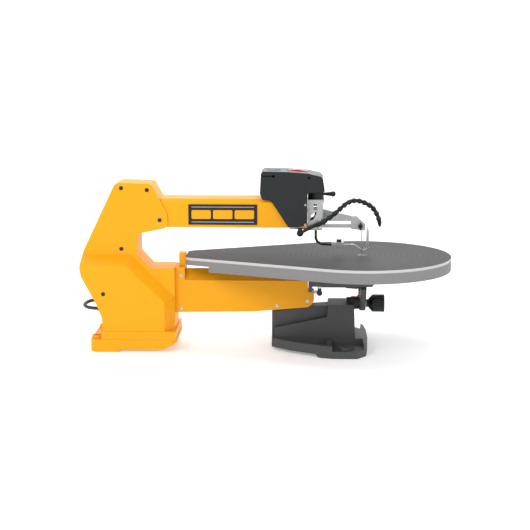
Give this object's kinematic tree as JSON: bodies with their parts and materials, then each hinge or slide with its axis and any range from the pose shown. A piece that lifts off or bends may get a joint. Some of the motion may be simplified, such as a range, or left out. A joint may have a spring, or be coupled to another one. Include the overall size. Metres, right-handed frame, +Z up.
{
  "type": "scroll saw",
  "caption": "Bench scroll saw: deep-throat arm over a tilting teardrop table, with parallel-link blade drive, head with switch and blower hose, and a coiled mains cord.",
  "frame": {"origin": "middle of the machine's box without the cord, on the bench", "axes": "+X towards the operator's end of the table, +Y towards the operator's right-hand side, +Z up"},
  "size_m": [0.8437, 0.424, 0.409],
  "materials": {
    "yellow_coat": "powder coat, satin",
    "foot_coat": "textured black paint",
    "black_plastic": "moulded, fine texture",
    "table_iron": "machined and ground",
    "cast_aluminium": "die cast, tumbled",
    "bright_steel": "bright",
    "dark_steel": "black oxide",
    "red_plastic": "moulded, glossy",
    "grey_casting": "as cast",
    "board_green": "solder mask",
    "scale_cream": "printed strip",
    "cord_rubber": "matt",
    "copper_wound": "varnished winding"
  },
  "bodies": {
    "base": {"rear_foot": "yellow_coat", "rear_shell_left": "yellow_coat", "rear_shell_right": "yellow_coat", "column_frame": "grey_casting", "shell_screws": "dark_steel", "lower_arm": "yellow_coat", "side_plate_left": "yellow_coat", "side_plate_right": "yellow_coat", "plate_screws": "bright_steel", "table_post": "yellow_coat", "front_foot": "foot_coat", "clamp_bolt": "bright_steel", "bevel_pointer": "red_plastic", "upper_arm": "yellow_coat", "arm_badge": "black_plastic", "head_cover_left": "black_plastic", "head_cover_right": "black_plastic", "head_casting": "cast_aluminium", "head_screws": "bright_steel", "tension_rod": "bright_steel", "control_board": "board_green", "blower_pump": "black_plastic", "motor_can": "dark_steel", "motor_cap": "cast_aluminium", "motor_bearings": "bright_steel", "pivot_pins": "bright_steel", "strain_relief": "cord_rubber", "power_cord": "cord_rubber", "cord_coil": "cord_rubber", "plug": "black_plastic"},
    "table": {"table": "table_iron", "quadrant": "foot_coat", "bevel_scale": "scale_cream", "trunnion_bar": "foot_coat"},
    "lock_knob": {"lock_knob": "black_plastic"},
    "motor_rotor": {"motor_shaft": "bright_steel", "motor_rotor": "copper_wound", "eccentric": "grey_casting"},
    "rear_rocker": {"rear_rocker": "grey_casting"},
    "connecting_rod": {"connecting_rod": "bright_steel"},
    "upper_drive_rod": {"upper_drive_rod": "bright_steel"},
    "lower_drive_rod": {"lower_drive_rod": "bright_steel"},
    "upper_rocker": {"upper_rocker": "cast_aluminium"},
    "upper_stay": {"upper_stay": "cast_aluminium"},
    "lower_rocker": {"lower_rocker": "dark_steel"},
    "lower_stay": {"lower_stay": "dark_steel"},
    "blade": {"clamp_link": "cast_aluminium", "blade": "bright_steel", "upper_clamp": "cast_aluminium", "lower_clamp": "dark_steel"},
    "clamp_screw": {"clamp_screw": "black_plastic"},
    "tension_lever": {"tension_lever": "black_plastic"},
    "switch_paddle": {"switch_paddle": "red_plastic"},
    "speed_dial": {"speed_dial": "black_plastic"},
    "hold_down_rod": {"hold_down_rod": "dark_steel"},
    "hold_down_foot": {"hold_down_foot": "bright_steel"},
    "hold_down_screw": {"hold_down_screw": "dark_steel"},
    "hose_lower": {"hose_base": "black_plastic", "hose_lower": "black_plastic"},
    "hose_upper": {"hose_upper": "black_plastic"}
  },
  "joints": [
    {"name": "table_tilt", "type": "hinge", "parent": "base", "child": "table", "pos_m": [-0.178, 0, 0.205], "axis": [1, 0, 0], "range_deg": [-45, 45]},
    {"name": "lock_knob_turn", "type": "hinge", "parent": "base", "child": "lock_knob", "pos_m": [0.25, 0, 0.101], "axis": [1, 0, 0], "range_deg": [-180, 180]},
    {"name": "motor_spin", "type": "hinge", "parent": "base", "child": "motor_rotor", "pos_m": [-0.275, 0, 0.084], "axis": [0, 1, 0], "continuous": true},
    {"name": "saw_stroke", "type": "hinge", "parent": "base", "child": "rear_rocker", "pos_m": [-0.33, 0, 0.219], "axis": [0, -1, 0], "range_deg": [-1.34, 1.34]},
    {"name": "connecting_rod_swing", "type": "hinge", "parent": "rear_rocker", "child": "connecting_rod", "pos_m": [-0.33, 0, 0.084], "axis": [0, -1, 0], "range_deg": [-2, 2]},
    {"name": "upper_drive_slide", "type": "slide", "parent": "base", "child": "upper_drive_rod", "axis": [1, 0, 0], "range_m": [-0.003, 0.003]},
    {"name": "lower_drive_slide", "type": "slide", "parent": "base", "child": "lower_drive_rod", "axis": [1, 0, 0], "range_m": [-0.003, 0.003]},
    {"name": "upper_rocker_swing", "type": "hinge", "parent": "base", "child": "upper_rocker", "pos_m": [0.1215, 0, 0.296], "axis": [0, -1, 0], "range_deg": [-7.5, 7.5]},
    {"name": "upper_stay_swing", "type": "hinge", "parent": "base", "child": "upper_stay", "pos_m": [0.1215, 0, 0.28], "axis": [0, -1, 0], "range_deg": [-7.5, 7.5]},
    {"name": "lower_rocker_swing", "type": "hinge", "parent": "base", "child": "lower_rocker", "pos_m": [0.1215, 0, 0.142], "axis": [0, -1, 0], "range_deg": [-7.5, 7.5]},
    {"name": "lower_stay_swing", "type": "hinge", "parent": "base", "child": "lower_stay", "pos_m": [0.1215, 0, 0.158], "axis": [0, -1, 0], "range_deg": [-7.5, 7.5]},
    {"name": "blade_travel", "type": "slide", "parent": "base", "child": "blade", "axis": [0, 0, 1], "range_m": [-0.0098, 0.0098]},
    {"name": "clamp_screw_turn", "type": "hinge", "parent": "blade", "child": "clamp_screw", "pos_m": [0.213, 0, 0.281], "axis": [0, 1, 0], "range_deg": [-180, 180]},
    {"name": "tension_lever_turn", "type": "hinge", "parent": "base", "child": "tension_lever", "pos_m": [0.1115, 0, 0.35], "axis": [0, 0, 1], "range_deg": [-60, 60]},
    {"name": "switch_rock", "type": "hinge", "parent": "base", "child": "switch_paddle", "pos_m": [0.071, 0, 0.4], "axis": [0, 1, 0], "range_deg": [0, 6]},
    {"name": "speed_dial_turn", "type": "hinge", "parent": "base", "child": "speed_dial", "pos_m": [0.016, 0, 0.404], "axis": [0, 0, 1], "range_deg": [-135, 135]},
    {"name": "hold_down_slide", "type": "slide", "parent": "base", "child": "hold_down_rod", "axis": [0, 0, 1], "range_m": [-0.002, 0.018]},
    {"name": "hold_down_foot_turn", "type": "hinge", "parent": "hold_down_rod", "child": "hold_down_foot", "pos_m": [0.15, -0.003, 0.237], "axis": [0.93, 0.3487, -0.1163], "range_deg": [-10, 10]},
    {"name": "hold_down_screw_turn", "type": "hinge", "parent": "hold_down_foot", "child": "hold_down_screw", "pos_m": [0.165, -0.001, 0.24], "axis": [0, 0, 1], "range_deg": [-180, 180]},
    {"name": "hose_swivel", "type": "hinge", "parent": "base", "child": "hose_lower", "pos_m": [0.0765, -0.036, 0.271], "axis": [0, 0, 1], "range_deg": [-12, 0]},
    {"name": "hose_bend", "type": "hinge", "parent": "hose_lower", "child": "hose_upper", "pos_m": [0.192, -0.024, 0.34], "axis": [0, 1, 0], "range_deg": [-15, 15]}
  ],
  "couplings": [
    {"joint": "connecting_rod_swing", "follows": "saw_stroke", "ratio": -1},
    {"joint": "upper_drive_slide", "follows": "saw_stroke", "m_per_rad": -0.095},
    {"joint": "lower_drive_slide", "follows": "saw_stroke", "m_per_rad": 0.095},
    {"joint": "upper_rocker_swing", "follows": "saw_stroke", "ratio": 5.2778},
    {"joint": "upper_stay_swing", "follows": "saw_stroke", "ratio": 5.2778},
    {"joint": "lower_rocker_swing", "follows": "saw_stroke", "ratio": 5.2778},
    {"joint": "lower_stay_swing", "follows": "saw_stroke", "ratio": 5.2778},
    {"joint": "blade_travel", "follows": "saw_stroke", "m_per_rad": 0.40639}
  ]
}
